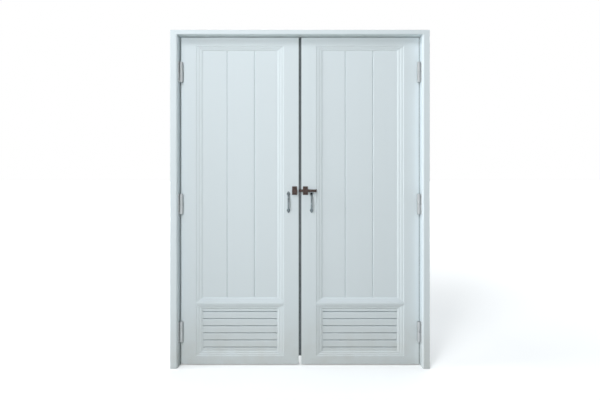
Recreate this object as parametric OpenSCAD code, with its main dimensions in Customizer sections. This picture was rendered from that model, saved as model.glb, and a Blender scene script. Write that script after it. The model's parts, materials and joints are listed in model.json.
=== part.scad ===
// Double door of white uPVC profiles with its frame. Each leaf is a panel of three planks over a louvre.
// Lengths are millimetres. X runs along the door, -Y is the side that the leaves open towards, +Z is up.
// The origin is on the floor, at the middle of the frame's width and depth.
// Pieces are drawn for the right side, and the left side is their mirror image.

/* [Frame] */
// Overall width of the frame
frame_w = 1552; // [1300:1:1900]
// Overall height of the frame
frame_h = 2026; // [1800:1:2400]
// Depth of the frame profile, from its face to its back
frame_depth = 100; // [95:1:130]
// Width of a jamb's flat front face
jamb_face = 33; // [28:1:45]
// Height of the head's flat front face
head_face = 24; // [20:1:40]
// How far the rounded front edge of a jamb runs into the opening
jamb_flare = 10; // [6:1:16]
// How far the rounded front edge of the head runs into the opening
head_flare = 4; // [2:1:10]
// How far the rounded front edges run back
flare_depth = 15; // [8:1:20]
// Step from the jamb's reveal to its rebate
rebate_step = 5; // [3:1:8]
// How far the stop laps behind a leaf
stop_lap = 8; // [5:1:12]
// Wall of the frame profile
frame_wall = 2.5; // [2:0.1:3.5]

/* [Leaf] */
// Distance from the frame's face back to the leaves' faces
leaf_setback = 50; // [48:1:60]
// Thickness of a leaf
leaf_t = 35; // [34:1:40]
// Gap between a leaf's hinge edge and its jamb
side_gap = 4; // [3.5:0.1:6]
// Gap between the leaves and the head
head_gap = 3; // [2:0.5:8]
// Gap between the leaves and the floor
floor_gap = 6; // [4:0.5:20]
// Gap between the two leaves
meeting_gap = 16; // [10:0.5:18]
// Width of a stile
stile_w = 90; // [84:1:120]
// Height of the top rail
top_rail_h = 51; // [40:1:120]
// Height of the bottom rail
bottom_rail_h = 49; // [40:1:150]
// Height of the mid rail between the panel and the louvre
mid_rail_h = 14; // [7:1:60]
// Height of the opening for the louvre and its beads
louvre_opening_h = 312; // [200:1:500]
// Wall of the leaf profile
leaf_wall = 2.5; // [2:0.1:3]

/* [Panel] */
// Thickness of the planks
panel_t = 12; // [11:0.5:14]
// Share of the leaf's opening that the hinge-side plank takes
hinge_plank_share = 0.3526; // [0.25:0.0001:0.4]
// Share of the leaf's opening that the middle plank takes
middle_plank_share = 0.3116; // [0.25:0.0001:0.4]
// Half width of the V joint between planks
joint_half_w = 4.5; // [3:0.5:8]
// Depth of the V joint
joint_depth = 3.5; // [1.5:0.1:3.5]
// Width of the beads at the sides of an opening
bead_side_w = 42; // [25:1:60]
// Width of the beads at the top and bottom of an opening
bead_end_w = 28; // [20:1:50]

/* [Louvre] */
// Distance from one slat to the next
slat_pitch = 43.4; // [30:0.1:60]
// How far a slat hangs down behind the next one
slat_lap = 10; // [6:0.5:16]
// Thickness of a slat, measured level
slat_t = 4.5; // [3:0.5:6]
// How far the lower edge of a slat is folded back
slat_fold = 10; // [8:0.5:16]
// Height of the fold, which ends at the next slat's nose
slat_fold_h = 6; // [4:0.5:10]

/* [Hinges] */
// Height of a hinge
hinge_h = 122; // [90:1:160]
// Diameter of the hinge barrel
barrel_d = 20; // [14:0.5:20]
// Diameter of the hinge pin
pin_d = 8; // [6:0.5:10]
// Thickness of the hinge plates
hinge_plate_t = 2; // [1.5:0.1:2.4]
// Height of the lowest hinge's middle above the leaf's foot
hinge_low = 202; // [120:1:300]
// Height of the middle hinge's middle above the leaf's foot
hinge_mid = 976; // [700:1:1200]
// Distance of the highest hinge's middle below the leaf's top
hinge_top_drop = 213; // [120:1:300]

/* [Handles and bolt] */
// Height of the handles' middle above the floor
handle_z = 992; // [800:1:1200]
// Distance of the handles from the leaf's meeting edge
handle_inset = 62; // [58:1:70]
// Distance between the two feet of a handle
handle_span = 100; // [80:1:160]
// Reach of a handle from the leaf's face to the middle of its bow
handle_reach = 27; // [22:1:32]
// Diameter of the handle's bow
handle_d = 10; // [7:0.5:12]
// Height of the bolt above the upper foot of the handles
bolt_rise = 20; // [20:1:300]
// Diameter of the bolt's rod
rod_d = 15; // [8:0.5:16]
// How far the bolt slides
bolt_travel = 36; // [30:1:40]
// Width of the bolt's guide and keeper
bolt_plate_w = 30; // [24:1:32]
// Height of the bolt's guide and keeper
bolt_plate_h = 52; // [44:1:70]

/* [Hidden] */
$fn = 48;
hull_fn = 32;
overrun = 1;
fit = 0.2;
screw_fit = 0.05;
running_fit = 0.05;

// Places of the frame
half_w = frame_w / 2;
front_y = -frame_depth / 2;
back_y = frame_depth / 2;
leaf_y = front_y + leaf_setback;
leaf_back_y = leaf_y + leaf_t;
step_inset = 2;
step_y = leaf_y + step_inset;
seal_room = 1.5;
stop_y = leaf_back_y + seal_room;
reveal_u = jamb_face + jamb_flare;
rebate_u = reveal_u + rebate_step;
stop_u = rebate_u + side_gap + stop_lap;
reveal_x = half_w - reveal_u;
rebate_x = half_w - rebate_u;
soffit_w = head_face + head_flare;
head_stop_w = soffit_w + head_gap + stop_lap;
flare_y = front_y + flare_depth;
flare_steps = 9;

// Fixing holes through the jambs, behind the leaves' edges
fixing_hole_d = 8;
fixing_y = leaf_y + leaf_t / 2;
fixing_low = 200;
fixing_high = frame_h - fixing_low;

// Places of a leaf, which runs from its meeting edge at x = 0 to its hinge edge at leaf_w
leaf_edge_x = rebate_x - side_gap;
leaf_w = leaf_edge_x - meeting_gap / 2;
leaf_h = frame_h - soffit_w - head_gap - floor_gap;
opening_w = leaf_w - 2 * stile_w;
hinge_plank_w = opening_w * hinge_plank_share;
middle_plank_w = opening_w * middle_plank_share;
louvre_z = bottom_rail_h;
mid_rail_z = louvre_z + louvre_opening_h;
panel_z = mid_rail_z + mid_rail_h;
panel_top_z = leaf_h - top_rail_h;
panel_h = panel_top_z - panel_z;

// Steel in the stiles, jambs and head
steel_t = 1.5;
stile_steel_w = 40;
steel_end_gap = 10;

// Beads: across an opening's edge and down from the leaf's face
bead_depth = (leaf_t - panel_t) / 2;
bead_across_shares = [0, 0.02, 0.13, 0.40, 0.52, 0.77, 0.95, 1];
bead_down_shares = [0.02, 0.02, 0.26, 0.31, 0.56, 0.61, 0.97, 0.98];

// Tongue, groove and hollow cells of the planks
tongue_t = 2;
tongue_l = 6;
groove_l = tongue_l + fit;
plank_wall = 1.5;
plank_cells = 4;

// Slats: their noses lie level with the panel's face, just behind the beads' inner edges
slat_inset = bead_depth;
slat_nose_shares = [[0, 0.65], [0.12, 0.25], [0.4, 0]];
slat_nose = slat_t;
louvre_clear_w = opening_w - 2 * bead_side_w;
louvre_clear_z = louvre_z + bead_end_w;
louvre_clear_h = louvre_opening_h - 2 * bead_end_w;
first_slat_rise = 22.6;
slat_count = ceil((louvre_clear_h + first_slat_rise) / slat_pitch);

// Meeting seal
seal_slit = 0.5;
seal_inset = 3;
seal_depth = 9;
seal_tip_share = 0.6;
seal_foot_gap = 50;
stop_seal_w = 4;
stop_seal_fit = 0.3;
rebate_seal_t = (side_gap - hinge_plate_t) / 2;
rebate_seal_w = 9;
rebate_seal_inset = 1;

// Hinges: the axis stands in front of the leaf's face, by the gap
barrel_r = barrel_d / 2;
pin_r = pin_d / 2;
barrel_clear = 0.5;
knuckle_gap = 1;
axis_x = reveal_x - hinge_plate_t - barrel_clear - barrel_r;
axis_y = leaf_y - barrel_clear - barrel_r;
knuckle_h = (hinge_h - knuckle_gap) / 2;
cap_h = 2;
cap_share = 0.75;
pin_inset = 6;
frame_plate_w = 32;
frame_plate_y = step_y - 2 * step_inset;
leaf_plate_front_y = leaf_y + barrel_clear;
leaf_plate_w = 29;
web_t = 8;
screw_r = 2.1;
screw_head_r = 4;
screw_l = 22;
hinge_screw_pitch = 45;
frame_screw_edge = 7;
hinge_zs = [
    floor_gap + hinge_low,
    floor_gap + hinge_mid,
    floor_gap + leaf_h - hinge_top_drop
];

// Handles: a bow between two flared feet, screwed from the leaf's back
handle_r = handle_d / 2;
foot_w = 20;
foot_t = 3;
foot_tip_w = 12;
foot_tip_l = 9;
bow_rise = handle_reach - foot_t;
bow_r = (pow(handle_span / 2, 2) + pow(bow_rise, 2)) / (2 * bow_rise);
bow_half_angle = asin(handle_span / 2 / bow_r);
handle_screw_r = 2;
handle_screw_bite = 5;
handle_screw_head_r = 4;
handle_screw_head_h = 2.5;

// Bolt: the guide and the keeper mirror each other across the meeting gap
bolt_z = handle_z + handle_span / 2 + bolt_rise;
rod_r = rod_d / 2;
bolt_plate_t = 2.5;
bolt_plate_x = 10;
rod_clear = 1;
rod_y = -(bolt_plate_t + rod_clear + rod_r);
guide_wall = 3;
guide_r = rod_r + guide_wall;
keeper_clear = 1;
keeper_half = rod_r + keeper_clear;
keeper_wall = 3;
bolt_screw_edge = 7;
bolt_screw_l = 14;
bolt_head_h = 1.5;
rod_tip_x = -5;
knob_r = 4;
knob_rise = 14;
collar_rim = 0.7;
collar_r = rod_r + collar_rim;
collar_l = 5;
knob_gap = 1.5;
knob_x = meeting_gap / 2 + bolt_plate_x + bolt_plate_w + bolt_travel + knob_gap + knob_r;
rod_end_x = knob_x + knob_r + knob_gap + collar_l;
rod_chamfer = 2;

// Colours
upvc = [0.90, 0.92, 0.93];
bead_white = [0.92, 0.94, 0.95];
slat_white = [0.86, 0.88, 0.88];
zinc = [0.66, 0.68, 0.70];
satin_steel = [0.74, 0.74, 0.72];
chrome = [0.62, 0.65, 0.67];
bronze = [0.34, 0.27, 0.25];
rubber = [0.20, 0.22, 0.23];

// Helpers

module on_left() { mirror([1, 0, 0]) children(); }

// Moves a leaf's own x, depth and height to the frame
module on_leaf() { translate([meeting_gap / 2, leaf_y, floor_gap]) children(); }

module block(x0, x1, y0, y1, z0, z1) {
    translate([x0, y0, z0]) cube([x1 - x0, y1 - y0, z1 - z0]);
}

// A prism with its outline in X and Z, from y0 to y1
module face_prism(points, y0, y1) {
    translate([0, y1, 0]) rotate([90, 0, 0]) linear_extrude(y1 - y0) polygon(points);
}

// A prism with its outline in Z and Y, from x0 to x1
module long_prism(points, x0, x1) {
    translate([x0, 0, 0]) rotate([0, 90, 0]) mirror([1, 0, 0]) linear_extrude(x1 - x0) polygon(points);
}

// A rod along X or Y from one place to another
module rod_along_x(x0, x1, r) { translate([x0, 0, 0]) rotate([0, 90, 0]) cylinder(h = x1 - x0, r = r); }
module rod_along_y(y0, y1, r) { translate([0, y1, 0]) rotate([90, 0, 0]) cylinder(h = y1 - y0, r = r); }

// Rectangular steel tube from z0 to z1
module steel_tube(x0, x1, y0, y1, z0, z1) {
    difference() {
        block(x0, x1, y0, y1, z0, z1);
        block(x0 + steel_t, x1 - steel_t, y0 + steel_t, y1 - steel_t, z0 - overrun, z1 + overrun);
    }
}

// Frame

// A profile's outline: its width across the opening's edge, and its depth
function profile_outline(face, flare, step, stop) = concat(
    [[0, front_y]],
    [for (i = [0:flare_steps])
        let (a = 90 * i / flare_steps) [face + flare * sin(a), flare_y - flare_depth * cos(a)]],
    step > 0 ? [[face + flare, step_y], [face + flare + step, step_y]] : [],
    [[face + flare + step, stop_y], [stop, stop_y], [stop, back_y], [0, back_y]]
);

// The four hollow chambers of a profile, as [u0, u1, y0, y1]
function profile_chambers(face, flare, step, stop) = [
    [frame_wall, face - frame_wall, front_y + frame_wall, flare_y - frame_wall / 2],
    [frame_wall, face + flare - frame_wall, flare_y + frame_wall / 2, step_y],
    [frame_wall, face + flare + step - frame_wall, step_y + frame_wall, stop_y],
    [frame_wall, stop - frame_wall, stop_y + frame_wall, back_y - frame_wall]
];

jamb_outline = profile_outline(jamb_face, jamb_flare, rebate_step, stop_u);
jamb_chambers = profile_chambers(jamb_face, jamb_flare, rebate_step, stop_u);
head_outline = profile_outline(head_face, head_flare, 0, head_stop_w);
head_chambers = profile_chambers(head_face, head_flare, 0, head_stop_w);

module jamb_envelope() {
    translate([half_w, 0, 0]) mirror([1, 0, 0]) linear_extrude(frame_h) polygon(jamb_outline);
}

module chamber_blocks(chambers, z0, z1) {
    for (c = chambers) block(c[0], c[1], c[2], c[3], z0, z1);
}

module fixing_holes() {
    for (z = [fixing_low, fixing_high])
        translate([0, fixing_y, z]) rod_along_x(rebate_x - overrun, half_w + overrun, fixing_hole_d / 2);
}

module jamb() {
    color(upvc) difference() {
        jamb_envelope();
        translate([half_w, 0, 0]) mirror([1, 0, 0])
            chamber_blocks(jamb_chambers, -overrun, frame_h + overrun);
        fixing_holes();
        hinge_frame_screw_shapes(screw_fit);
    }
}

// The head runs between the jambs and is coped to their section
module head() {
    color(upvc) difference() {
        translate([0, 0, frame_h]) mirror([0, 0, 1]) long_prism(head_outline, -half_w, half_w);
        translate([0, 0, frame_h]) mirror([0, 0, 1])
            for (c = head_chambers)
                block(-half_w - overrun, half_w + overrun, c[2], c[3], c[0], c[1]);
        jamb_envelope();
        on_left() jamb_envelope();
    }
}

module jamb_steel() {
    c = jamb_chambers[1];
    color(zinc) difference() {
        steel_tube(half_w - c[1] + fit, half_w - c[0] - fit, c[2] + fit, c[3] - fit,
            steel_end_gap, frame_h - steel_end_gap);
        hinge_frame_screw_shapes(screw_fit);
    }
}

module jamb_steels() {
    jamb_steel();
    on_left() jamb_steel();
}

// A flat steel box in the head's middle chamber
module head_steel() {
    c = head_chambers[1];
    reach = reveal_x - fit;
    color(zinc) translate([0, 0, frame_h]) difference() {
        block(-reach, reach, c[2] + fit, c[3] - fit, -c[1] + fit, -c[0] - fit);
        block(-reach - overrun, reach + overrun, c[2] + fit + steel_t, c[3] - fit - steel_t,
            -c[1] + fit + steel_t, -c[0] - fit - steel_t);
    }
}

// Rubber strips on the stop, behind the edges of the leaves, and in the gaps beside the leaves
module jamb_seals(y0, strip_x, strip_top) {
    rebate_seal_y = step_y + rebate_seal_inset;
    block(strip_x, strip_x + stop_seal_w, y0, stop_y, floor_gap, strip_top);
    block(rebate_x - rebate_seal_t, rebate_x, rebate_seal_y, rebate_seal_y + rebate_seal_w,
        floor_gap, floor_gap + leaf_h);
}

module frame_seals() {
    strip_x = half_w - stop_u + stop_seal_w / 2;
    strip_top = frame_h - head_stop_w + stop_seal_w / 2;
    y0 = leaf_back_y + stop_seal_fit;
    color(rubber) {
        jamb_seals(y0, strip_x, strip_top);
        on_left() jamb_seals(y0, strip_x, strip_top);
        block(-strip_x - stop_seal_w, strip_x + stop_seal_w, y0, stop_y, strip_top, strip_top + stop_seal_w);
    }
}

// Hinges

// A countersunk screw along +X, with its head's face at x = 0
module countersunk_screw(clear) {
    rotate([0, 90, 0]) {
        cylinder(h = hinge_plate_t, r1 = screw_head_r + clear, r2 = screw_r + clear);
        cylinder(h = screw_l + clear, r = screw_r + clear);
    }
}

module hinge_frame_screw_shapes(clear) {
    for (z = hinge_zs, i = [-1:1])
        translate([reveal_x - hinge_plate_t, frame_plate_y - frame_plate_w + frame_screw_edge,
            z + i * hinge_screw_pitch]) countersunk_screw(clear);
}

module hinge_leaf_screw_shapes(clear) {
    for (z = hinge_zs, i = [-1:1])
        translate([leaf_edge_x + hinge_plate_t, leaf_y + leaf_t / 2, z + i * hinge_screw_pitch])
            mirror([1, 0, 0]) countersunk_screw(clear);
}

module hinge_frame_screws() { color(zinc) hinge_frame_screw_shapes(0); }
module hinge_leaf_screws() { color(zinc) hinge_leaf_screw_shapes(0); }

// Lower knuckle and its plate on the jamb's reveal; the pin stands in it
module hinge_frame_half(z) {
    foot = z - hinge_h / 2;
    color(satin_steel) difference() {
        union() {
            translate([axis_x, axis_y, foot]) cylinder(h = knuckle_h, r = barrel_r);
            block(axis_x, reveal_x - hinge_plate_t / 2, axis_y - web_t / 2, axis_y + web_t / 2,
                foot, foot + knuckle_h);
            block(reveal_x - hinge_plate_t, reveal_x, frame_plate_y - frame_plate_w, frame_plate_y,
                foot, foot + hinge_h);
        }
        translate([axis_x, axis_y, foot + pin_inset])
            cylinder(h = knuckle_h + overrun, r = pin_r + screw_fit);
        hinge_frame_screw_shapes(screw_fit);
    }
}

// Upper knuckle with its cap, and its plate on the leaf's edge, in the gap
module hinge_leaf_half(z) {
    foot = z - hinge_h / 2;
    knuckle_z = foot + knuckle_h + knuckle_gap;
    color(satin_steel) difference() {
        union() {
            translate([axis_x, axis_y, knuckle_z]) {
                cylinder(h = knuckle_h - cap_h, r = barrel_r);
                translate([0, 0, knuckle_h - cap_h])
                    cylinder(h = cap_h, r1 = barrel_r, r2 = barrel_r * cap_share);
            }
            block(leaf_edge_x, leaf_edge_x + hinge_plate_t, axis_y, leaf_plate_front_y + overrun,
                knuckle_z, knuckle_z + knuckle_h - cap_h);
            block(leaf_edge_x, leaf_edge_x + hinge_plate_t, leaf_plate_front_y,
                leaf_plate_front_y + leaf_plate_w, foot, foot + hinge_h);
        }
        translate([axis_x, axis_y, knuckle_z - overrun])
            cylinder(h = knuckle_h - pin_inset + overrun, r = pin_r + running_fit);
        hinge_leaf_screw_shapes(screw_fit);
    }
}

module hinge_pins() {
    color(zinc) for (z = hinge_zs)
        translate([axis_x, axis_y, z - hinge_h / 2 + pin_inset])
            cylinder(h = hinge_h - 2 * pin_inset - fit, r = pin_r);
}

// Leaf frame, with mitred corners and two hollow chambers in each stile

module stile_body() {
    difference() {
        face_prism([[0, 0], [stile_w, bottom_rail_h], [stile_w, panel_top_z], [0, leaf_h]], 0, leaf_t);
        block(leaf_wall, leaf_wall + stile_steel_w, leaf_wall, leaf_t - leaf_wall,
            -overrun, leaf_h + overrun);
        block(2 * leaf_wall + stile_steel_w, stile_w - leaf_wall, leaf_wall, leaf_t - leaf_wall,
            -overrun, leaf_h + overrun);
    }
}

module stile_steel() {
    steel_tube(leaf_wall + fit, leaf_wall + stile_steel_w - fit, leaf_wall + fit, leaf_t - leaf_wall - fit,
        bottom_rail_h, panel_top_z);
}

module hinge_side() { on_leaf() translate([leaf_w, 0, 0]) mirror([1, 0, 0]) children(); }

module hinge_stile() {
    color(upvc) difference() {
        hinge_side() stile_body();
        hinge_leaf_screw_shapes(screw_fit);
    }
}

module meeting_stile() {
    color(upvc) difference() {
        on_leaf() stile_body();
        handle_screw_shapes(screw_fit);
        bolt_screw_shapes(screw_fit);
    }
}

module stile_steels() {
    color(zinc) {
        difference() {
            hinge_side() stile_steel();
            hinge_leaf_screw_shapes(screw_fit);
        }
        difference() {
            on_leaf() stile_steel();
            bolt_screw_shapes(screw_fit);
        }
    }
}

module top_rail() {
    color(upvc) on_leaf() difference() {
        face_prism([[0, leaf_h], [stile_w, panel_top_z], [leaf_w - stile_w, panel_top_z], [leaf_w, leaf_h]],
            0, leaf_t);
        block(-overrun, leaf_w + overrun, leaf_wall, leaf_t - leaf_wall,
            panel_top_z + leaf_wall, leaf_h - leaf_wall);
    }
}

module bottom_rail() {
    color(upvc) on_leaf() difference() {
        face_prism([[0, 0], [stile_w, bottom_rail_h], [leaf_w - stile_w, bottom_rail_h], [leaf_w, 0]],
            0, leaf_t);
        block(-overrun, leaf_w + overrun, leaf_wall, leaf_t - leaf_wall,
            leaf_wall, bottom_rail_h - leaf_wall);
    }
}

module mid_rail() {
    color(upvc) on_leaf() difference() {
        block(stile_w, leaf_w - stile_w, 0, leaf_t, mid_rail_z, panel_z);
        block(stile_w - overrun, leaf_w - stile_w + overrun, leaf_wall, leaf_t - leaf_wall,
            mid_rail_z + leaf_wall, panel_z - leaf_wall);
    }
}

// Panel planks

// One edge of a plank from back to front: plain, with a tongue, or with a groove.
// way is -1 for the edge at the low x and 1 for the edge at the high x.
function plain_edge(x) = [[x, panel_t], [x, 0]];
function joint_edge(x, way, key_t, key_l) = [
    [x - way * joint_half_w, panel_t],
    [x, panel_t - joint_depth],
    [x, (panel_t + key_t) / 2],
    [x + way * key_l, (panel_t + key_t) / 2],
    [x + way * key_l, (panel_t - key_t) / 2],
    [x, (panel_t - key_t) / 2],
    [x, joint_depth],
    [x - way * joint_half_w, 0]
];
function tongue_edge(x, way) = joint_edge(x, way, tongue_t, tongue_l);
function groove_edge(x, way) = joint_edge(x, way, tongue_t + 2 * fit, -groove_l);
function reversed(points) = [for (i = [len(points) - 1:-1:0]) points[i]];

meeting_joint_x = leaf_w - stile_w - hinge_plank_w - middle_plank_w;
hinge_joint_x = leaf_w - stile_w - hinge_plank_w;

module plank(x0, x1, low_edge, high_edge) {
    cell_edge = groove_l + plank_wall + joint_half_w;
    cell_w = (x1 - x0 - 2 * cell_edge - (plank_cells - 1) * plank_wall) / plank_cells;
    color(upvc) on_leaf() translate([0, bead_depth, panel_z]) difference() {
        linear_extrude(panel_h) polygon(concat(low_edge, reversed(high_edge)));
        for (i = [0:plank_cells - 1]) {
            cell_x = x0 + cell_edge + i * (cell_w + plank_wall);
            block(cell_x, cell_x + cell_w, plank_wall, panel_t - plank_wall, -overrun, panel_h + overrun);
        }
    }
}

module hinge_plank() {
    plank(hinge_joint_x, leaf_w - stile_w, groove_edge(hinge_joint_x, -1), plain_edge(leaf_w - stile_w));
}

module middle_plank() {
    plank(meeting_joint_x, hinge_joint_x, groove_edge(meeting_joint_x, -1), tongue_edge(hinge_joint_x, 1));
}

module meeting_plank() {
    plank(stile_w, meeting_joint_x, plain_edge(stile_w), tongue_edge(meeting_joint_x, 1));
}

// Beads

// A bead's section: across the opening's edge, and down to its seat
function bead_section(width, seat) = concat(
    [for (i = [0:len(bead_across_shares) - 1])
        [width * bead_across_shares[i], bead_depth * bead_down_shares[i]]],
    [[width, seat], [0, seat]]
);

// Four mitred beads round an opening of the given size, on one face of the leaf
module bead_ring(width, height, seat) {
    side_outline = [[0, 0], [bead_side_w, bead_end_w], [bead_side_w, height - bead_end_w], [0, height]];
    end_outline = [[0, 0], [width, 0], [width - bead_side_w, bead_end_w], [bead_side_w, bead_end_w]];
    for (turn = [0, 1]) {
        translate([turn * width, 0, 0]) mirror([turn, 0, 0]) intersection() {
            linear_extrude(height) polygon(bead_section(bead_side_w, seat));
            face_prism(side_outline, 0, seat);
        }
        translate([0, 0, turn * height]) mirror([0, 0, turn]) intersection() {
            long_prism(bead_section(bead_end_w, seat), 0, width);
            face_prism(end_outline, 0, seat);
        }
    }
}

module beads_on_both_faces(z, height, seat) {
    color(bead_white) on_leaf() translate([stile_w, 0, z]) {
        bead_ring(opening_w, height, seat);
        translate([0, leaf_t, 0]) mirror([0, 1, 0]) bead_ring(opening_w, height, seat);
    }
}

module panel_beads() { beads_on_both_faces(panel_z, panel_h, bead_depth); }
module louvre_beads() { beads_on_both_faces(louvre_z, louvre_opening_h, leaf_t / 2); }

// Louvre slats: an upright face below a rounded nose, folded back at its foot to hang behind the next slat
function slat_section(top) = concat(
    [for (p = slat_nose_shares) [top - slat_nose * p[1], slat_inset + slat_t * p[0]]],
    [
        [top, slat_inset + slat_t],
        [top - slat_pitch + slat_fold_h, slat_inset + slat_t],
        [top - slat_pitch, slat_inset + slat_fold + slat_t],
        [top - slat_pitch - slat_lap, slat_inset + slat_fold + slat_t],
        [top - slat_pitch - slat_lap, slat_inset + slat_fold],
        [top - slat_pitch, slat_inset + slat_fold],
        [top - slat_pitch + slat_fold_h, slat_inset]
    ]
);

module louvre_slats() {
    slat_x = stile_w + bead_side_w;
    top_slat_z = louvre_clear_z + louvre_clear_h + first_slat_rise;
    color(slat_white) on_leaf() for (i = [0:slat_count - 1])
        intersection() {
            long_prism(slat_section(top_slat_z - i * slat_pitch), slat_x, slat_x + louvre_clear_w);
            block(slat_x, slat_x + louvre_clear_w, 0, leaf_t,
                louvre_clear_z, louvre_clear_z + louvre_clear_h);
        }
}

// Meeting seal on the leaf's edge, tapered to its tip and cut short at the foot
module meeting_seal() {
    tip_x = -(meeting_gap - seal_slit) / 2;
    tip_inset = seal_depth * (1 - seal_tip_share) / 2;
    color(rubber) on_leaf() translate([0, seal_inset, seal_foot_gap]) linear_extrude(leaf_h - seal_foot_gap)
        polygon([[0, 0], [0, seal_depth], [tip_x, seal_depth - tip_inset], [tip_x, tip_inset]]);
}

// Handle

module at_handle() { on_leaf() translate([handle_inset, 0, handle_z - floor_gap]) children(); }

module handle_foot() {
    pad_fn = hull_fn;
    hull() {
        rod_along_y(-foot_t, 0, foot_w / 2, $fn = pad_fn);
        translate([0, 0, foot_tip_l]) rod_along_y(-foot_t, 0, foot_tip_w / 2, $fn = pad_fn);
    }
    hull() {
        rod_along_y(-2 * foot_t, -foot_t, foot_tip_w / 2, $fn = pad_fn);
        translate([0, -bow_rise / 2, -foot_w / 2]) sphere(r = handle_r, $fn = pad_fn);
        rod_along_y(-foot_t, -foot_t / 2, foot_w / 2 - foot_t / 2, $fn = pad_fn);
    }
}

module pull_handle() {
    color(chrome) at_handle() difference() {
        union() {
            translate([0, bow_r - handle_reach, 0]) rotate([0, -90, 0]) rotate([0, 0, -90 - bow_half_angle])
                rotate_extrude(angle = 2 * bow_half_angle) translate([bow_r, 0]) circle(r = handle_r);
            for (turn = [0, 1]) mirror([0, 0, turn]) translate([0, 0, handle_span / 2]) handle_foot();
        }
        block(-foot_w, foot_w, 0, bow_r, -handle_span, handle_span);
        handle_screw_shanks(screw_fit);
    }
}

module handle_screw_shanks(clear) {
    for (turn = [-1, 1]) translate([0, 0, turn * handle_span / 2])
        rod_along_y(-handle_screw_bite - clear, leaf_t + clear, handle_screw_r + clear);
}

module handle_screw_shapes(clear) { at_handle() handle_screw_shanks(clear); }

module handle_screws() {
    color(zinc) at_handle() {
        handle_screw_shanks(0);
        for (turn = [-1, 1]) translate([0, leaf_t, turn * handle_span / 2])
            rod_along_y(0, handle_screw_head_h, handle_screw_head_r);
    }
}

// Bolt

module at_bolt() { on_leaf() translate([bolt_plate_x, 0, bolt_z - floor_gap]) children(); }

module bolt_plate() { block(0, bolt_plate_w, -bolt_plate_t, 0, -bolt_plate_h / 2, bolt_plate_h / 2); }

module bolt_screw_places() {
    for (turn = [-1, 1])
        translate([bolt_plate_w / 2, -bolt_plate_t, turn * (bolt_plate_h / 2 - bolt_screw_edge)]) children();
}

module bolt_screw_shapes(clear) {
    at_bolt() bolt_screw_places() rod_along_y(-clear, bolt_screw_l + clear, screw_r + clear);
}

module bolt_screws() {
    color(bronze) {
        bolt_screw_shapes(0);
        at_bolt() bolt_screw_places() rod_along_y(-bolt_head_h, 0, screw_head_r);
    }
}

module bolt_guide() {
    color(bronze) difference() {
        at_bolt() union() {
            bolt_plate();
            translate([0, rod_y, 0]) rod_along_x(0, bolt_plate_w, guide_r);
            block(0, bolt_plate_w, rod_y, 0, -guide_r, guide_r);
        }
        at_bolt() translate([0, rod_y, 0])
            rod_along_x(-overrun, bolt_plate_w + overrun, rod_r + running_fit);
        bolt_screw_shapes(screw_fit);
    }
}

// The keeper is a square staple, so that the rod slides in easily
module bolt_keeper() {
    outer = keeper_half + keeper_wall;
    color(bronze) difference() {
        at_bolt() difference() {
            union() {
                bolt_plate();
                block(0, bolt_plate_w, rod_y - outer, 0, -outer, outer);
            }
            block(-overrun, bolt_plate_w + overrun, rod_y - keeper_half, -bolt_plate_t,
                -keeper_half, keeper_half);
        }
        bolt_screw_shapes(screw_fit);
    }
}

// The rod is drawn back at rest, just clear of the other leaf
module bolt_rod() {
    length = rod_end_x - rod_tip_x;
    color(bronze) translate([0, leaf_y + rod_y, bolt_z]) {
        translate([rod_tip_x, 0, 0]) rotate([0, 90, 0]) rotate_extrude() polygon([
            [0, 0], [rod_r - rod_chamfer, 0], [rod_r, rod_chamfer], [rod_r, length - collar_l],
            [collar_r, length - collar_l], [collar_r, length], [0, length]
        ]);
        translate([knob_x, 0, 0]) rod_along_y(-knob_rise, 0, knob_r);
    }
}

on_left() jamb();  // left_jamb
jamb();  // right_jamb
head();
jamb_steels();
head_steel();
frame_seals();

on_left() hinge_frame_half(hinge_zs[0]);  // left_hinge_low_frame_half
on_left() hinge_frame_half(hinge_zs[1]);  // left_hinge_mid_frame_half
on_left() hinge_frame_half(hinge_zs[2]);  // left_hinge_top_frame_half
hinge_frame_half(hinge_zs[0]);  // right_hinge_low_frame_half
hinge_frame_half(hinge_zs[1]);  // right_hinge_mid_frame_half
hinge_frame_half(hinge_zs[2]);  // right_hinge_top_frame_half
on_left() hinge_leaf_half(hinge_zs[0]);  // left_hinge_low_leaf_half
on_left() hinge_leaf_half(hinge_zs[1]);  // left_hinge_mid_leaf_half
on_left() hinge_leaf_half(hinge_zs[2]);  // left_hinge_top_leaf_half
hinge_leaf_half(hinge_zs[0]);  // right_hinge_low_leaf_half
hinge_leaf_half(hinge_zs[1]);  // right_hinge_mid_leaf_half
hinge_leaf_half(hinge_zs[2]);  // right_hinge_top_leaf_half
on_left() hinge_pins();  // left_hinge_pins
hinge_pins();  // right_hinge_pins
on_left() hinge_frame_screws();  // left_hinge_frame_screws
hinge_frame_screws();  // right_hinge_frame_screws
on_left() hinge_leaf_screws();  // left_hinge_leaf_screws
hinge_leaf_screws();  // right_hinge_leaf_screws

on_left() hinge_stile();  // left_hinge_stile
on_left() meeting_stile();  // left_meeting_stile
on_left() top_rail();  // left_top_rail
on_left() mid_rail();  // left_mid_rail
on_left() bottom_rail();  // left_bottom_rail
on_left() hinge_plank();  // left_hinge_plank
on_left() middle_plank();  // left_middle_plank
on_left() meeting_plank();  // left_meeting_plank
on_left() panel_beads();  // left_panel_beads
on_left() louvre_beads();  // left_louvre_beads
on_left() louvre_slats();  // left_louvre_slats
on_left() stile_steels();  // left_stile_steels
on_left() meeting_seal();  // left_meeting_seal
on_left() pull_handle();  // left_pull_handle
on_left() handle_screws();  // left_handle_screws

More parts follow.
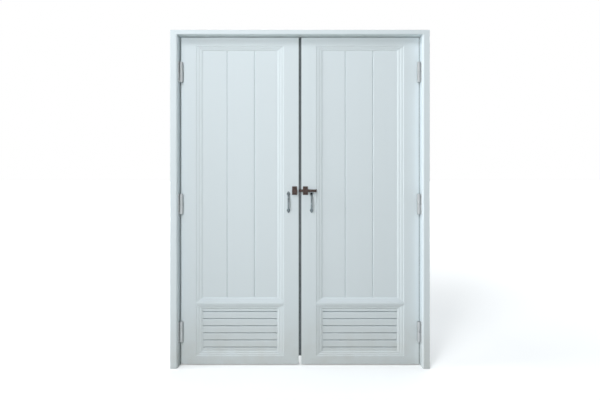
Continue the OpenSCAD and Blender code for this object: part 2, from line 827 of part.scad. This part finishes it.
hinge_stile();  // right_hinge_stile
meeting_stile();  // right_meeting_stile
top_rail();  // right_top_rail
mid_rail();  // right_mid_rail
bottom_rail();  // right_bottom_rail
hinge_plank();  // right_hinge_plank
middle_plank();  // right_middle_plank
meeting_plank();  // right_meeting_plank
panel_beads();  // right_panel_beads
louvre_beads();  // right_louvre_beads
louvre_slats();  // right_louvre_slats
stile_steels();  // right_stile_steels
meeting_seal();  // right_meeting_seal
pull_handle();  // right_pull_handle
handle_screws();  // right_handle_screws

bolt_guide();
bolt_screws();  // bolt_guide_screws
on_left() bolt_keeper();
on_left() bolt_screws();  // bolt_keeper_screws
bolt_rod();
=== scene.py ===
# %% [markdown]
# # A white uPVC double door in its frame
# The solids come from the CAD part: two leaves, each a panel of planks above a louvre, hung in a frame.
# Blender adds what the solids have not: the softened edges of extruded plastic, the cross recesses in the
# screws, the finish of each material, and the light of a plain studio.

# %% Load the solids
import json
import math

import bmesh
import bpy
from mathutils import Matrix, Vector

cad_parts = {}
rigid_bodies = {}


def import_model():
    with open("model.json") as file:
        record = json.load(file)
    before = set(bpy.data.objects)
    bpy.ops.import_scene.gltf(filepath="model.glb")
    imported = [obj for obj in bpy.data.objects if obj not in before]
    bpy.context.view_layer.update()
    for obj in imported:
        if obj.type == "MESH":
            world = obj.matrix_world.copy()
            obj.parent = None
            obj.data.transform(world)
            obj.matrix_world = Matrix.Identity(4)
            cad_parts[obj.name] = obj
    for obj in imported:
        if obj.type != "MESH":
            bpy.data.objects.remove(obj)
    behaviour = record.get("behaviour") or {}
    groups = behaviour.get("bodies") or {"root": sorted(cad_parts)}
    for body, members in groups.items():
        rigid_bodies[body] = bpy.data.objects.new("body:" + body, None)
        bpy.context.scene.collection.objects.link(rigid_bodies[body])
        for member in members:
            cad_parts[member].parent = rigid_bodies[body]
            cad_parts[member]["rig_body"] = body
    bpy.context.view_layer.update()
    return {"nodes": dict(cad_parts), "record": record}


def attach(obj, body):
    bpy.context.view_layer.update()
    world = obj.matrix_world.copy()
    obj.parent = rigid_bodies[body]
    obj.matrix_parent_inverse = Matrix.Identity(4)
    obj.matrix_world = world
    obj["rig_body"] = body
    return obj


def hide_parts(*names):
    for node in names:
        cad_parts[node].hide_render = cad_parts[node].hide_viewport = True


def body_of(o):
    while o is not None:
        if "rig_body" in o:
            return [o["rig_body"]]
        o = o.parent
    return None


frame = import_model()
MM = 0.001

# %% [markdown]
# ## Small helpers for materials
# Colours are given as sRGB hex values, but shaders work in linear light, so one function turns
# them. Another adds a node to a material, with its settings and its links, so that each material below
# reads as a short list of nodes. Where a node has several sockets of one name, a number picks the socket,
# counted from 0: in a Mix node i0 is the factor, i6 and i7 are the two colours, and its colour result is
# output 2.

# %% Colour and node helpers
WHITE = "#FFFFFF"
COLOUR_RESULT = 2


def linear(hex_colour):
    channels = [int(hex_colour[i : i + 2], 16) / 255 for i in (1, 3, 5)]
    return [c / 12.92 if c <= 0.04045 else ((c + 0.055) / 1.055) ** 2.4 for c in channels] + [1.0]


def add_node(tree, kind, settings=None, **inputs):
    node = tree.nodes.new(kind)
    for name, value in (settings or {}).items():
        setattr(node, name, value)
    for name, value in inputs.items():
        by_number = name[0] == "i" and name[1:].isdigit()
        socket = node.inputs[int(name[1:]) if by_number else name.replace("_", " ")]
        if isinstance(value, bpy.types.NodeSocket):
            tree.links.new(value, socket)
        else:
            socket.default_value = value
    return node


def new_material(name, **shader_inputs):
    material = bpy.data.materials.new(name)
    material.use_nodes = True
    tree = material.node_tree
    shader = tree.nodes["Principled BSDF"]
    for socket, value in shader_inputs.items():
        shader.inputs[socket.replace("_", " ")].default_value = value
    return material, tree, shader


print("white in linear light:", linear(WHITE))

# %% [markdown]
# ## White uPVC
# The profiles, planks, beads and slats are rigid PVC, pushed hot through a polished die. That leaves a
# smooth, slightly cool white with a satin sheen, and faint streaks where the die has worn. A picture of
# plastic could be wrapped round them, but it would need a seam on each profile. A noise that is stretched
# upright has none, and runs along the jambs, stiles and planks. On the rails and the head it runs across,
# where it is too faint to notice. Real streaks are too fine to show from here, so they are drawn 4 mm wide.
# They change the sheen and stand up a little, so they go into the roughness and the bump.

# %% White uPVC with its streaks
STREAK_WIDTH = 4 * MM
STREAK_LENGTH = 900 * MM
STREAK_HEIGHT = 0.02 * MM
NOISE_LOW = 0.3
NOISE_HIGH = 0.7
UPVC_SMOOTHEST = 0.34
UPVC_ROUGHEST = 0.44

upvc, tree, shader = new_material("extruded white uPVC", IOR=1.53, Specular_IOR_Level=0.45)
place = add_node(tree, "ShaderNodeTexCoord")
stretch = add_node(
    tree, "ShaderNodeMapping", Vector=place.outputs["Object"],
    Scale=(1 / STREAK_WIDTH, 1 / STREAK_WIDTH, 1 / STREAK_LENGTH),
)
streaks = add_node(tree, "ShaderNodeTexNoise", Vector=stretch.outputs["Vector"], Scale=1.0, Detail=2.0)
sheen = add_node(
    tree, "ShaderNodeMapRange", Value=streaks.outputs["Fac"], From_Min=NOISE_LOW, From_Max=NOISE_HIGH,
    To_Min=UPVC_SMOOTHEST, To_Max=UPVC_ROUGHEST,
)
relief = add_node(
    tree, "ShaderNodeBump", Height=streaks.outputs["Fac"], Strength=1.0, Distance=STREAK_HEIGHT
)
tree.links.new(sheen.outputs["Result"], shader.inputs["Roughness"])
tree.links.new(relief.outputs["Normal"], shader.inputs["Normal"])
print("material:", upvc.name, "with streaks", STREAK_WIDTH / MM, "mm wide")

# %% [markdown]
# Near the floor the white turns a warm grey, uneven over about a hand's width, which fades out above the
# louvre. It is partly a film of dirt left by mopping and partly painted shade: the dimmer, warmer light
# near the floor. It could be painted by hand, but the height above the floor is enough to place it, and a
# noise makes it uneven.

# %% Film and painted shade near the floor
UPVC_WHITE = "#E1EBF0"
FILM_AND_SHADE_GREY = "#CBCBC4"
FILM_AND_SHADE_PATCH = 90 * MM
FILM_AND_SHADE_TOP = 420 * MM
FILM_AND_SHADE_STRENGTH = 0.30
NOISE_MIDDLE = 0.5

patches = add_node(
    tree, "ShaderNodeTexNoise", Vector=place.outputs["Object"], Scale=1 / FILM_AND_SHADE_PATCH, Detail=3.0
)
height = add_node(tree, "ShaderNodeSeparateXYZ", Vector=place.outputs["Object"])
near_floor = add_node(
    tree, "ShaderNodeMapRange", {"interpolation_type": "SMOOTHSTEP"}, Value=height.outputs["Z"],
    From_Min=0.0, From_Max=FILM_AND_SHADE_TOP, To_Min=FILM_AND_SHADE_STRENGTH / NOISE_MIDDLE, To_Max=0.0,
)
film_and_shade = add_node(
    tree, "ShaderNodeMath", {"operation": "MULTIPLY"}, i0=patches.outputs["Fac"],
    i1=near_floor.outputs["Result"],
)
# The mix towards warm grey near the floor is partly a dirt film and partly painted shade.
white = add_node(
    tree, "ShaderNodeMix", {"data_type": "RGBA"}, i0=film_and_shade.outputs["Value"], i6=linear(UPVC_WHITE),
    i7=linear(FILM_AND_SHADE_GREY),
)
print("film: up to", FILM_AND_SHADE_TOP, "m above the floor")

# %% [markdown]
# In the joints of the planks and the corners of the beads the white is turned grey: painted shade. An
# ambient occlusion node finds those places by their shape, whatever the light is: its value is 1 on an open
# face and falls in a corner.

# %% Painted shade in the corners
# The grey of the painted shade in the corners, and how far from a corner it reaches.
PAINTED_SHADE_GREY = "#7F888E"
PAINTED_SHADE_REACH = 8 * MM
PAINTED_SHADE_STRENGTH = 0.20
PAINTED_SHADE_FULL_AT = 0.5
PAINTED_SHADE_ENDS_AT = 0.97
PAINTED_SHADE_SAMPLES = 8

corners = add_node(tree, "ShaderNodeAmbientOcclusion", {"samples": PAINTED_SHADE_SAMPLES}, Distance=PAINTED_SHADE_REACH)
painted_shade = add_node(
    tree, "ShaderNodeMapRange", Value=corners.outputs["AO"], From_Min=PAINTED_SHADE_FULL_AT, From_Max=PAINTED_SHADE_ENDS_AT,
    To_Min=PAINTED_SHADE_STRENGTH, To_Max=0.0,
)
# Painted shade: the white is mixed towards grey where the occlusion finds a corner.
white_with_painted_shade = add_node(
    tree, "ShaderNodeMix", {"data_type": "RGBA"}, i0=painted_shade.outputs["Result"],
    i6=white.outputs[COLOUR_RESULT], i7=linear(PAINTED_SHADE_GREY),
)
tree.links.new(white_with_painted_shade.outputs[COLOUR_RESULT], shader.inputs["Base Color"])
print("dust: within", PAINTED_SHADE_REACH / MM, "mm of a corner")

# %% [markdown]
# ## Satin steel of the hinges
# The hinge barrels are turned steel, brushed along their length to a satin. Brush lines are as fine as
# hairs and would not show, so they are drawn 1.5 mm wide. The plates that carry the barrels are stamped
# from zinc-coated sheet, which is paler and hardly mirrors. Barrel and plate are one solid. It could be
# split in two, but the solids stay as they are, so the shader tells them apart by place: the plates lie
# flat on the jambs, further out than any part of a barrel.

# %% Hinge material
BARREL_GREY = "#BEC2C4"
PLATE_GREY = "#DCE0E2"
BARREL_METALLIC = 0.5
PLATE_METALLIC = 0.25
SATIN_SMOOTHEST = 0.28
SATIN_ROUGHEST = 0.44
BRUSH_WIDTH = 1.5 * MM
BRUSH_LENGTH = 60 * MM
PLATE_FROM_MIDDLE = 730.7 * MM

hinge_steel, tree, shader = new_material("brushed satin steel")
place = add_node(tree, "ShaderNodeTexCoord")
stretch = add_node(
    tree, "ShaderNodeMapping", Vector=place.outputs["Object"],
    Scale=(1 / BRUSH_WIDTH, 1 / BRUSH_WIDTH, 1 / BRUSH_LENGTH),
)
brushing = add_node(tree, "ShaderNodeTexNoise", Vector=stretch.outputs["Vector"], Scale=1.0, Detail=3.0)
satin = add_node(
    tree, "ShaderNodeMapRange", Value=brushing.outputs["Fac"], From_Min=NOISE_LOW, From_Max=NOISE_HIGH,
    To_Min=SATIN_SMOOTHEST, To_Max=SATIN_ROUGHEST,
)
across = add_node(tree, "ShaderNodeSeparateXYZ", Vector=place.outputs["Object"])
from_middle = add_node(tree, "ShaderNodeMath", {"operation": "ABSOLUTE"}, i0=across.outputs["X"])
plate = add_node(
    tree, "ShaderNodeMath", {"operation": "GREATER_THAN"}, i0=from_middle.outputs["Value"],
    i1=PLATE_FROM_MIDDLE,
)
metal = add_node(
    tree, "ShaderNodeMapRange", Value=plate.outputs["Value"], To_Min=BARREL_METALLIC,
    To_Max=PLATE_METALLIC,
)
tint = add_node(
    tree, "ShaderNodeMix", {"data_type": "RGBA"}, i0=plate.outputs["Value"], i6=linear(BARREL_GREY),
    i7=linear(PLATE_GREY),
)
tree.links.new(tint.outputs[COLOUR_RESULT], shader.inputs["Base Color"])
tree.links.new(metal.outputs["Result"], shader.inputs["Metallic"])
tree.links.new(satin.outputs["Result"], shader.inputs["Roughness"])
print("material:", hinge_steel.name)

# %% [markdown]
# ## Chrome
# The handles are chrome plate over a casting: a mirror, dulled in places by finger marks about 9 mm across.
# Reflections here see only the white backdrop, so the dark room that the mirror would show is a painted
# reflection in its darker grey. An even roughness would look like new, so a noise dulls it.

# %% Chrome of the handles
# A grey darker than bare chrome: it holds a painted reflection of a dark room.
CHROME_AND_ROOM_REFLECTION_GREY = "#7F888C"
CHROME_CLEAN = 0.16
CHROME_DULLED = 0.34
FINGER_MARK = 9 * MM
MARKS_START_AT = 0.35
MARKS_FULL_AT = 0.7

chrome, tree, shader = new_material("polished chrome plate", Base_Color=linear(CHROME_AND_ROOM_REFLECTION_GREY), Metallic=1.0)
place = add_node(tree, "ShaderNodeTexCoord")
marks = add_node(
    tree, "ShaderNodeTexNoise", Vector=place.outputs["Object"], Scale=1 / FINGER_MARK, Detail=4.0
)
dulled = add_node(
    tree, "ShaderNodeMapRange", Value=marks.outputs["Fac"], From_Min=MARKS_START_AT,
    From_Max=MARKS_FULL_AT, To_Min=CHROME_CLEAN, To_Max=CHROME_DULLED,
)
tree.links.new(dulled.outputs["Result"], shader.inputs["Roughness"])
print("material:", chrome.name)

# %% [markdown]
# ## Zinc
# The screws and the hidden bars are plated with zinc, which sets in pale and dark crystals. A Voronoi
# texture makes cells like them. Real ones are too fine to show, so they are drawn about 2 mm wide.

# %% Zinc of the screws and bars
ZINC_PALE = "#BCC0C2"
ZINC_DARK = "#A2A6A8"
ZINC_CRYSTAL = 2 * MM

zinc, tree, shader = new_material("bright zinc plate", Metallic=1.0, Roughness=0.35)
place = add_node(tree, "ShaderNodeTexCoord")
crystals = add_node(
    tree, "ShaderNodeTexVoronoi", Vector=place.outputs["Object"], Scale=1 / ZINC_CRYSTAL
)
tint = add_node(
    tree, "ShaderNodeMix", {"data_type": "RGBA"}, i0=crystals.outputs["Distance"], i6=linear(ZINC_PALE),
    i7=linear(ZINC_DARK),
)
tree.links.new(tint.outputs[COLOUR_RESULT], shader.inputs["Base Color"])
print("material:", zinc.name)

# %% [markdown]
# ## Rubber
# The seals are black EPDM rubber, drawn out with a matt skin that a grey bloom covers unevenly. One flat
# black would look like a hole, so a noise mixes the black of the rubber with the grey of the bloom.

# %% Rubber of the seals
RUBBER_DARK = "#3B4347"
RUBBER_BLOOM = "#50585C"
BLOOM_PATCH = 20 * MM

rubber, tree, shader = new_material("extruded EPDM rubber", Roughness=0.7)
place = add_node(tree, "ShaderNodeTexCoord")
bloom = add_node(
    tree, "ShaderNodeTexNoise", Vector=place.outputs["Object"], Scale=1 / BLOOM_PATCH, Detail=3.0
)
tint = add_node(
    tree, "ShaderNodeMix", {"data_type": "RGBA"}, i0=bloom.outputs["Fac"], i6=linear(RUBBER_DARK),
    i7=linear(RUBBER_BLOOM),
)
tree.links.new(tint.outputs[COLOUR_RESULT], shader.inputs["Base Color"])
print("material:", rubber.name)

# %% [markdown]
# ## Bronzed steel
# The bolt is steel with a dark bronze finish. It is patchy by nature, and rubbed to a lighter and smoother
# brown where hands and the keeper have worn it. Two noises do that: a coarse one for the patches, and a
# finer one whose peaks are the rubbed places.

# %% Bronze of the bolt
BRONZE_DARK = "#39322F"
BRONZE_BROWN = "#554541"
BRONZE_RUBBED = "#94766B"
BRONZE_PATCH = 18 * MM
RUB_SIZE = 5 * MM
RUB_STARTS_AT = 0.5
RUB_FULL_AT = 0.75
RUB_STRENGTH = 0.4
BRONZE_MATT = 0.42
BRONZE_POLISHED = 0.3

bronze, tree, shader = new_material("bronzed steel", Metallic=0.6)
place = add_node(tree, "ShaderNodeTexCoord")
patches = add_node(
    tree, "ShaderNodeTexNoise", Vector=place.outputs["Object"], Scale=1 / BRONZE_PATCH, Detail=3.0
)
rubbing = add_node(
    tree, "ShaderNodeTexNoise", Vector=place.outputs["Object"], Scale=1 / RUB_SIZE, Detail=2.0
)
rubbed = add_node(
    tree, "ShaderNodeMapRange", Value=rubbing.outputs["Fac"], From_Min=RUB_STARTS_AT,
    From_Max=RUB_FULL_AT, To_Min=0.0, To_Max=RUB_STRENGTH,
)
dark = add_node(
    tree, "ShaderNodeMix", {"data_type": "RGBA"}, i0=patches.outputs["Fac"], i6=linear(BRONZE_DARK),
    i7=linear(BRONZE_BROWN),
)
tint = add_node(
    tree, "ShaderNodeMix", {"data_type": "RGBA"}, i0=rubbed.outputs["Result"],
    i6=dark.outputs[COLOUR_RESULT], i7=linear(BRONZE_RUBBED),
)
smooth = add_node(
    tree, "ShaderNodeMapRange", Value=rubbed.outputs["Result"], To_Min=BRONZE_MATT, To_Max=BRONZE_POLISHED
)
tree.links.new(tint.outputs[COLOUR_RESULT], shader.inputs["Base Color"])
tree.links.new(smooth.outputs["Result"], shader.inputs["Roughness"])
print("material:", bronze.name)

# %% [markdown]
# ## Cross recesses in the screws
# Every screw on this door is turned with a cross-tip driver, and the solids have plain heads. The heads
# are found in the mesh itself: each loose part is one screw, and its head is the end that faces the way
# the table says.

# %% Where the heads are
HEADS_FACE = {
    "left_hinge_frame_screws": Vector((1, 0, 0)),
    "right_hinge_frame_screws": Vector((-1, 0, 0)),
    "left_hinge_leaf_screws": Vector((-1, 0, 0)),
    "right_hinge_leaf_screws": Vector((1, 0, 0)),
    "left_handle_screws": Vector((0, 1, 0)),
    "right_handle_screws": Vector((0, 1, 0)),
    "bolt_guide_screws": Vector((0, -1, 0)),
    "bolt_keeper_screws": Vector((0, -1, 0)),
}
WELD_DISTANCE = 0.01 * MM


def loose_parts(mesh_data):
    waiting = set(mesh_data.verts)
    while waiting:
        part, edge_of_search = set(), [waiting.pop()]
        while edge_of_search:
            vertex = edge_of_search.pop()
            part.add(vertex)
            near = {edge.other_vert(vertex) for edge in vertex.link_edges} & waiting
            waiting -= near
            edge_of_search += near
        yield part


print("sets of screws:", len(HEADS_FACE))

# %% [markdown]
# The cutter has the shape of a plus and narrows as it goes in, like the driver's tip. One arm is written
# down, and quarter turns give the other three.

# %% A cutter for one recess
RECESS_REACH = 2.4 * MM
RECESS_HALF_WIDTH = 0.55 * MM
RECESS_DEPTH = 1.1 * MM
RECESS_TAPER = 0.55


def add_plus_cutter(cutter, centre, outward):
    sideways = outward.orthogonal().normalized()
    upwards = outward.cross(sideways)
    w, r = RECESS_HALF_WIDTH, RECESS_REACH
    arm = [(r, -w), (r, w), (w, w)]
    outline = []
    for quarter_turn in range(4):
        outline += arm
        arm = [(-y, x) for x, y in arm]
    rings = []
    for level, scale in ((RECESS_DEPTH, 1.0), (-RECESS_DEPTH, RECESS_TAPER)):
        base = centre + outward * level
        rings.append([cutter.verts.new(base + (sideways * x + upwards * y) * scale) for x, y in outline])
    top, foot = rings
    cutter.faces.new(top)
    cutter.faces.new(reversed(foot))
    for i in range(len(outline)):
        j = (i + 1) % len(outline)
        cutter.faces.new([top[j], top[i], foot[i], foot[j]])


print("recess:", RECESS_DEPTH / MM, "mm deep")

# %% [markdown]
# The cutters are taken out of the heads by a Boolean. A live modifier would need its cutter to travel with
# the leaf, so the result is kept as a new mesh that rides the leaf in place of the plain screws.


# %% Cut the heads
def cut_recesses(node, outward):
    plain = frame["nodes"][node]
    screw_mesh = bmesh.new()
    screw_mesh.from_mesh(plain.data)
    bmesh.ops.remove_doubles(screw_mesh, verts=screw_mesh.verts, dist=WELD_DISTANCE)
    cutter = bmesh.new()
    for part in loose_parts(screw_mesh):
        furthest = max(v.co.dot(outward) for v in part)
        rim = [v.co for v in part if v.co.dot(outward) > furthest - WELD_DISTANCE]
        add_plus_cutter(cutter, sum(rim, Vector()) / len(rim), outward)
    bmesh.ops.recalc_face_normals(cutter, faces=cutter.faces)
    pieces = []
    for name, source in ((node + "_cross_recess", screw_mesh), (node + "_cutter", cutter)):
        mesh = bpy.data.meshes.new(name)
        source.to_mesh(mesh)
        source.free()
        pieces.append(bpy.data.objects.new(name, mesh))
        bpy.context.scene.collection.objects.link(pieces[-1])
    turned, tool = pieces
    cut = turned.modifiers.new("recess", "BOOLEAN")
    cut.object = tool
    cut.solver = "EXACT"
    turned_now = turned.evaluated_get(bpy.context.evaluated_depsgraph_get())
    finished = bpy.data.meshes.new_from_object(turned_now)
    turned.modifiers.clear()
    turned.data = finished
    bpy.data.objects.remove(tool)
    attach(turned, body_of(plain)[0])
    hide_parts(node)
    return turned


screws = {node: cut_recesses(node, outward) for node, outward in HEADS_FACE.items()}
print("screws cut:", {node: len(screw.data.polygons) for node, screw in screws.items()})

# %% [markdown]
# ## Dress the solids
# Each solid takes the material of its slot in the record. A real extruded corner is never knife-sharp,
# so a bevel rounds each edge and catches a thin line of light. The imported mesh has its vertices doubled
# along the edges, so a weld joins them first, or the bevel would find no edge to round. The stiles and
# jambs are drilled, and a hole leaves long thin triangles on a flat face, so those are merged into one
# face before the bevel.

# %% Materials and rounded edges
FINISHES = {
    "white_upvc": upvc,
    "satin_steel": hinge_steel,
    "zinc_plated_steel": zinc,
    "chrome_plate": chrome,
    "bronzed_steel": bronze,
    "dark_rubber": rubber,
}
EDGE_RADIUS = {"white_upvc": 0.8 * MM, "satin_steel": 0.6 * MM, "bronzed_steel": 0.8 * MM}
EDGE_SEGMENTS = 2
SHARP_ANGLE = math.radians(30)
FLAT_ANGLE = math.radians(0.5)

slot_of = {part["node"]: part["material_slot"] for part in frame["record"]["subparts"]}
for name, solid in frame["nodes"].items():
    slot = slot_of[name]
    if name in screws:
        solid = screws[name]
    solid.data.materials.clear()
    solid.data.materials.append(FINISHES[slot])
    weld = solid.modifiers.new("join doubled vertices", "WELD")
    weld.merge_threshold = WELD_DISTANCE
    if name.endswith(("_stile", "_jamb")):
        merge = solid.modifiers.new("one face round the screw holes", "DECIMATE")
        merge.decimate_type = "DISSOLVE"
        merge.angle_limit = FLAT_ANGLE
    if slot in EDGE_RADIUS and name not in screws:
        rounding = solid.modifiers.new("rounded edges", "BEVEL")
        rounding.width = EDGE_RADIUS[slot]
        rounding.segments = EDGE_SEGMENTS
        rounding.limit_method = "ANGLE"
        rounding.angle_limit = SHARP_ANGLE
    if slot == "white_upvc":
        solid.data.shade_flat()
    else:
        solid.data.shade_smooth()
        split = solid.modifiers.new("crisp edges", "EDGE_SPLIT")
        split.split_angle = SHARP_ANGLE
print("dressed:", len(slot_of), "solids")

# %% [markdown]
# ## The studio
# The door stands on a pale floor in front of nothing. The world is only a fill: a little light from the
# upper left, cut off at the plane of the door so that none of it comes from behind, and a bright side at
# the upper right behind the door, so that the back can be read too.

# %% Light of the world
WORLD_TINT = "#F3F7FA"
FRONT_FROM = Vector((-0.80, 0.30, 0.52))
FRONT_BRIGHT = 0.9
FRONT_ENDS_AT = 0.06
BACK_FROM = Vector((0.50, 0.80, 0.33))
BACK_BRIGHT = 1.6

scene = bpy.context.scene
scene.view_settings.view_transform = "Standard"
world = bpy.data.worlds.new("studio")
scene.world = world
world.use_nodes = True
tree = world.node_tree
tree.nodes.clear()
place = add_node(tree, "ShaderNodeTexCoord")
sides = []
for light_from, bright in ((FRONT_FROM, FRONT_BRIGHT), (BACK_FROM, BACK_BRIGHT)):
    towards = add_node(
        tree, "ShaderNodeVectorMath", {"operation": "DOT_PRODUCT"}, i0=place.outputs["Generated"],
        i1=light_from,
    )
    sides.append(
        add_node(tree, "ShaderNodeMapRange", Value=towards.outputs["Value"], To_Min=0.0, To_Max=bright)
    )
depth = add_node(tree, "ShaderNodeSeparateXYZ", Vector=place.outputs["Generated"])
in_front = add_node(
    tree, "ShaderNodeMapRange", Value=depth.outputs["Y"], From_Max=FRONT_ENDS_AT, To_Min=1.0, To_Max=0.0
)
level = add_node(
    tree, "ShaderNodeMath", {"operation": "MULTIPLY_ADD"}, i0=sides[0].outputs["Result"],
    i1=in_front.outputs["Result"], i2=sides[1].outputs["Result"],
)
fill = add_node(
    tree, "ShaderNodeBackground", Color=linear(WORLD_TINT), Strength=level.outputs["Value"]
)
print("world: front", FRONT_BRIGHT, "back", BACK_BRIGHT)

# %% [markdown]
# A white backdrop could be a lit wall, but that would throw light on the door. A Light Path node tells what
# a ray is for instead: the camera and reflections see plain white, and the rays that gather light for the
# door see the fill. The floor needs the same test, so it is a function.


# %% White backdrop
def seen_or_mirrored(tree):
    rays = add_node(tree, "ShaderNodeLightPath")
    mirrored = add_node(
        tree, "ShaderNodeMath", {"operation": "MAXIMUM"}, i0=rays.outputs["Is Glossy Ray"],
        i1=rays.outputs["Is Transmission Ray"],
    )
    either = add_node(
        tree, "ShaderNodeMath", {"operation": "MAXIMUM"}, i0=rays.outputs["Is Camera Ray"],
        i1=mirrored.outputs["Value"],
    )
    return either.outputs["Value"]


backdrop = add_node(tree, "ShaderNodeBackground", Color=linear(WHITE), Strength=1.0)
choice = add_node(
    tree, "ShaderNodeMixShader", i0=seen_or_mirrored(tree), i1=fill.outputs["Background"],
    i2=backdrop.outputs["Background"],
)
add_node(tree, "ShaderNodeOutputWorld", Surface=choice.outputs["Shader"])
print("backdrop:", WHITE)

# %% [markdown]
# The floor is pale paper. It glows a little to the camera and in reflections, so that it reads as white
# without lighting the door from below. The light that it does throw on the door is dimmer and warmer than
# the paper looks. Near the door the glow is faint, so the door's shadow stays. It grows with the distance
# from the door as the lamps' light falls off, so the floor melts into the backdrop.

# %% Floor
PAPER_SEEN = "#F7F8F8"
PAPER_BOUNCE = "#ADABA2"
FLOOR_SIZE = 60.0
FLOOR_DROP = 0.5 * MM
GLOW_NEAR = 0.15
GLOW_FAR = 0.75
GLOW_GROWS_FROM = 1.5
GLOW_GROWS_TO = 7.0

paper, tree, shader = new_material(
    "pale studio paper", Roughness=0.9, Specular_IOR_Level=0.2, Emission_Color=linear(WHITE)
)
seen = seen_or_mirrored(tree)
place = add_node(tree, "ShaderNodeTexCoord")
from_door = add_node(tree, "ShaderNodeVectorMath", {"operation": "LENGTH"}, i0=place.outputs["Object"])
glow_here = add_node(
    tree, "ShaderNodeMapRange", Value=from_door.outputs["Value"], From_Min=GLOW_GROWS_FROM,
    From_Max=GLOW_GROWS_TO, To_Min=GLOW_NEAR, To_Max=GLOW_FAR,
)
glow = add_node(
    tree, "ShaderNodeMath", {"operation": "MULTIPLY"}, i0=seen, i1=glow_here.outputs["Result"]
)
tint = add_node(
    tree, "ShaderNodeMix", {"data_type": "RGBA"}, i0=seen, i6=linear(PAPER_BOUNCE), i7=linear(PAPER_SEEN)
)
tree.links.new(glow.outputs["Value"], shader.inputs["Emission Strength"])
tree.links.new(tint.outputs[COLOUR_RESULT], shader.inputs["Base Color"])
floor_mesh = bpy.data.meshes.new("studio floor")
reach = FLOOR_SIZE / 2
floor_corners = [(-reach, -reach, 0), (reach, -reach, 0), (reach, reach, 0), (-reach, reach, 0)]
floor_mesh.from_pydata(floor_corners, [], [(0, 1, 2, 3)])
floor_mesh.materials.append(paper)
floor = bpy.data.objects.new("studio floor", floor_mesh)
floor.location.z = -FLOOR_DROP
scene.collection.objects.link(floor)
print("floor:", FLOOR_SIZE, "m wide")

# %% [markdown]
# Three lamps make the shapes read. The front lamp hangs a little to the left of the left jamb and a little
# above the head, so its light passes both, falls on the leaves up to their edges, and leaves the left
# reveal and the head's underside dark. The high lamp brightens the bead slopes that face up. The side lamp
# is far to the left and grazes the leaves, so it mostly lights the right reveal. The lamps are hidden from
# the camera and from reflections, which see the white backdrop instead.

# %% Lamps
LAMP_TINT = "#F5F7F9"
# name, place in metres, point it is aimed at, diameter in metres, watts
LAMPS = [
    ("front lamp", Vector((-1.4, -4.0, 2.4)), Vector((0.0, 0.0, 1.1)), 1.2, 67),
    ("high lamp", Vector((-1.6, -3.2, 5.0)), Vector((0.0, 0.0, 0.7)), 1.8, 100),
    ("side lamp", Vector((-8.3, -0.95, 2.2)), Vector((0.7, 0.0, 1.1)), 2.5, 300),
]

for name, lamp_place, aim, diameter, watts in LAMPS:
    lamp = bpy.data.lights.new(name, "AREA")
    lamp.shape = "DISK"
    lamp.size = diameter
    lamp.energy = watts
    lamp.color = linear(LAMP_TINT)[:3]
    holder = bpy.data.objects.new(name, lamp)
    holder.location = lamp_place
    holder.rotation_euler = (aim - lamp_place).to_track_quat("-Z", "Y").to_euler()
    holder.visible_camera = False
    holder.visible_glossy = False
    scene.collection.objects.link(holder)
    print(name, "of", watts, "W,", round((aim - lamp_place).length, 2), "m from its aim")

# %% [markdown]
# ## The camera
# The photograph was taken square on, from a little above handle height. The horizon is then not at the
# middle of the picture, so the lens is shifted and not tilted, which keeps the jambs upright.

# %% Camera
IMAGE_W = 600
SENSOR_W = 36.0
EYE_HEIGHT = 1.218
EYE_DISTANCE = 2.70
LEAF_MM_PER_PIXEL = 6.09
HORIZON_ABOVE_MIDDLE = 35

lens = bpy.data.cameras.new("camera")
lens.sensor_width = SENSOR_W
lens.lens = EYE_DISTANCE / (LEAF_MM_PER_PIXEL * MM) * SENSOR_W / IMAGE_W
lens.shift_y = -HORIZON_ABOVE_MIDDLE / IMAGE_W
lens.clip_end = FLOOR_SIZE
camera = bpy.data.objects.new("camera", lens)
camera.location = (0, -EYE_DISTANCE, EYE_HEIGHT)
camera.rotation_euler = (math.radians(90), 0, 0)
scene.collection.objects.link(camera)
scene.camera = camera
print("lens:", round(lens.lens, 1), "mm")
